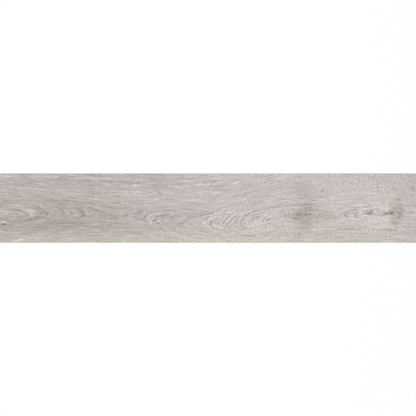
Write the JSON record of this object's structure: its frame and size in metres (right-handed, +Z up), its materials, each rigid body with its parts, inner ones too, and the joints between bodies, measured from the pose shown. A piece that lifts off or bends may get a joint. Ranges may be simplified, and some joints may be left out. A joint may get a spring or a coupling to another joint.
{
  "type": "wood-effect porcelain plank floor tile",
  "caption": "Long flat porcelain floor tile with a pale grey oak grain printed on top, bevelled ground edges and a pocketed key grid on its back.",
  "frame": {"origin": "centre of the bedding face, on the floor that the tile lies on", "axes": "+X along the tile's length and the printed grain, +Y across it, +Z up out of the walking face"},
  "size_m": [1.199, 0.199, 0.009],
  "materials": {
    "printed_porcelain": "matte"
  },
  "bodies": {
    "root": {"tile": "printed_porcelain"}
  },
  "joints": []
}
